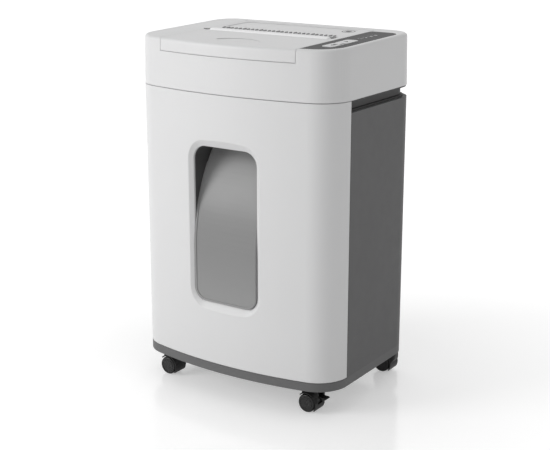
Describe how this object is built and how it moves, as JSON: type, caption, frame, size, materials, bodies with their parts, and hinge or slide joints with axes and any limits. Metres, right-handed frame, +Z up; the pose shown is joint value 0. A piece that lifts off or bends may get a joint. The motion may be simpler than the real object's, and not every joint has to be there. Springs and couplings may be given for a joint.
{
  "type": "paper shredder",
  "caption": "Office paper shredder on swivel casters, with a bow-fronted housing, pull-out bin with a curved window, lift-up slot lid, geared cross-cut cutters and two keys.",
  "frame": {"origin": "middle of the footprint, on the floor under the casters", "axes": "+Z up, +X to the right seen from the front, -Y towards the front with the window"},
  "size_m": [0.37, 0.268, 0.5706],
  "materials": {
    "white_shell": "satin moulded white",
    "side_panel": "fine-grained dark grey",
    "skirt": "fine-grained grey",
    "neck": "matt near-black",
    "steel": "zinc-plated sheet",
    "dark_plastic": "matt dark",
    "control_grey": "satin mid grey",
    "circuit_board": "green solder mask",
    "indicator_lights": "unlit diffused lenses",
    "smoked_window": "glossy dark",
    "key_grey": "satin pale grey",
    "black_plastic": "fine-grained black",
    "bright_steel": "nickel plated",
    "motor_steel": "dark enamel",
    "gear_steel": "oiled",
    "bronze": "sintered",
    "cutter_steel": "hardened, oiled",
    "smoked_pane": "smoked clear",
    "bin_grey": "fine-grained dark grey",
    "wheel_black": "hard nylon tread"
  },
  "bodies": {
    "cabinet": {"base_tray": "skirt", "side_panel_left": "side_panel", "side_panel_right": "side_panel", "back_panel": "side_panel", "top_deck": "neck", "bin_runners": "steel", "head_cover": "white_shell", "feed_well": "dark_plastic", "lid_hinge_pins": "steel", "control_panel": "control_grey", "control_board": "circuit_board", "status_lights": "indicator_lights", "indicator_window": "smoked_window", "mains_inlet": "black_plastic", "inlet_pins": "bright_steel", "mains_switch_body": "black_plastic", "bin_switch": "black_plastic", "motor": "motor_steel", "bearing_plate_left": "steel", "bearing_plate_right": "steel", "tie_rods": "steel", "cutter_bushes": "bronze", "comb_front": "black_plastic", "comb_rear": "black_plastic", "gear_axles": "bright_steel"},
    "slot_lid": {"lid": "white_shell", "slot_guide": "control_grey"},
    "pull_out_bin": {"bin_front": "white_shell", "window_niche": "black_plastic", "window_pane": "smoked_pane", "bin_tub": "bin_grey"},
    "start_button": {"start_key": "key_grey"},
    "reverse_button": {"reverse_key": "key_grey"},
    "rocker": {"mains_rocker": "black_plastic"},
    "motor_rotor": {"motor_pinion": "gear_steel"},
    "first_stage": {"first_gear": "gear_steel"},
    "second_stage": {"second_gear": "gear_steel"},
    "rear_cutter_shaft": {"rear_cutter": "cutter_steel", "rear_sync_gear": "gear_steel", "drive_gear": "gear_steel"},
    "front_cutter_shaft": {"front_cutter": "cutter_steel", "front_sync_gear": "gear_steel"},
    "caster_front_left": {"caster_hood_fl": "black_plastic"},
    "wheels_front_left": {"caster_wheels_fl": "wheel_black", "caster_axle_fl": "bright_steel"},
    "caster_front_right": {"caster_hood_fr": "black_plastic"},
    "wheels_front_right": {"caster_wheels_fr": "wheel_black", "caster_axle_fr": "bright_steel"},
    "brake_front_right": {"brake_lever_fr": "black_plastic"},
    "caster_rear_left": {"caster_hood_rl": "black_plastic"},
    "wheels_rear_left": {"caster_wheels_rl": "wheel_black", "caster_axle_rl": "bright_steel"},
    "brake_rear_left": {"brake_lever_rl": "black_plastic"},
    "caster_rear_right": {"caster_hood_rr": "black_plastic"},
    "wheels_rear_right": {"caster_wheels_rr": "wheel_black", "caster_axle_rr": "bright_steel"}
  },
  "joints": [
    {"name": "lid_hinge", "type": "hinge", "parent": "cabinet", "child": "slot_lid", "pos_m": [0, 0.10354, 0.56484], "axis": [-1, 0, 0], "range_deg": [0, 85]},
    {"name": "bin_slide", "type": "slide", "parent": "cabinet", "child": "pull_out_bin", "axis": [0, -1, 0], "range_m": [0, 0.24]},
    {"name": "start_press", "type": "slide", "parent": "cabinet", "child": "start_button", "axis": [0, 0.0187, -0.9998], "range_m": [0, 0.0012], "stiffness_N_per_m": 600, "springref_m": -0.0005},
    {"name": "reverse_press", "type": "slide", "parent": "cabinet", "child": "reverse_button", "axis": [0, 0.0187, -0.9998], "range_m": [0, 0.0012], "stiffness_N_per_m": 600, "springref_m": -0.0005},
    {"name": "rocker_tilt", "type": "hinge", "parent": "cabinet", "child": "rocker", "pos_m": [0.052, 0.1304, 0.52], "axis": [-1, 0, 0], "range_deg": [0, 16]},
    {"name": "rear_cutter_spin", "type": "hinge", "parent": "cabinet", "child": "rear_cutter_shaft", "pos_m": [0, 0.018, 0.508], "axis": [1, 0, 0], "continuous": true},
    {"name": "front_cutter_spin", "type": "hinge", "parent": "cabinet", "child": "front_cutter_shaft", "pos_m": [0, -0.016, 0.508], "axis": [1, 0, 0], "continuous": true},
    {"name": "second_stage_spin", "type": "hinge", "parent": "cabinet", "child": "second_stage", "pos_m": [-0.14, 0.05844, 0.50588], "axis": [1, 0, 0], "continuous": true},
    {"name": "first_stage_spin", "type": "hinge", "parent": "cabinet", "child": "first_stage", "pos_m": [-0.15, 0.07813, 0.53632], "axis": [1, 0, 0], "continuous": true},
    {"name": "motor_spin", "type": "hinge", "parent": "cabinet", "child": "motor_rotor", "pos_m": [-0.14, 0.092, 0.512], "axis": [1, 0, 0], "continuous": true},
    {"name": "caster_swivel_front_left", "type": "hinge", "parent": "cabinet", "child": "caster_front_left", "pos_m": [-0.137, -0.088, 0.05], "axis": [0, 0, 1], "continuous": true},
    {"name": "wheel_spin_front_left", "type": "hinge", "parent": "caster_front_left", "child": "wheels_front_left", "pos_m": [-0.141, -0.088, 0.015], "axis": [0, 1, 0], "continuous": true},
    {"name": "caster_swivel_front_right", "type": "hinge", "parent": "cabinet", "child": "caster_front_right", "pos_m": [0.137, -0.088, 0.05], "axis": [0, 0, 1], "continuous": true},
    {"name": "wheel_spin_front_right", "type": "hinge", "parent": "caster_front_right", "child": "wheels_front_right", "pos_m": [0.133, -0.088, 0.015], "axis": [0, 1, 0], "continuous": true},
    {"name": "brake_press_front_right", "type": "hinge", "parent": "caster_front_right", "child": "brake_front_right", "pos_m": [0.1506, -0.088, 0.027], "axis": [0, 1, 0], "range_deg": [0, 20]},
    {"name": "caster_swivel_rear_left", "type": "hinge", "parent": "cabinet", "child": "caster_rear_left", "pos_m": [-0.154, 0.1195, 0.05], "axis": [0, 0, 1], "continuous": true},
    {"name": "wheel_spin_rear_left", "type": "hinge", "parent": "caster_rear_left", "child": "wheels_rear_left", "pos_m": [-0.158, 0.1195, 0.015], "axis": [0, 1, 0], "continuous": true},
    {"name": "brake_press_rear_left", "type": "hinge", "parent": "caster_rear_left", "child": "brake_rear_left", "pos_m": [-0.1404, 0.1195, 0.027], "axis": [0, 1, 0], "range_deg": [0, 20]},
    {"name": "caster_swivel_rear_right", "type": "hinge", "parent": "cabinet", "child": "caster_rear_right", "pos_m": [0.154, 0.1195, 0.05], "axis": [0, 0, 1], "continuous": true},
    {"name": "wheel_spin_rear_right", "type": "hinge", "parent": "caster_rear_right", "child": "wheels_rear_right", "pos_m": [0.15, 0.1195, 0.015], "axis": [0, 1, 0], "continuous": true}
  ],
  "couplings": [
    {"joint": "motor_spin", "follows": "first_stage_spin", "ratio": -4},
    {"joint": "second_stage_spin", "follows": "first_stage_spin", "ratio": -0.31818},
    {"joint": "rear_cutter_spin", "follows": "first_stage_spin", "ratio": 0.11136},
    {"joint": "front_cutter_spin", "follows": "first_stage_spin", "ratio": -0.11136}
  ]
}
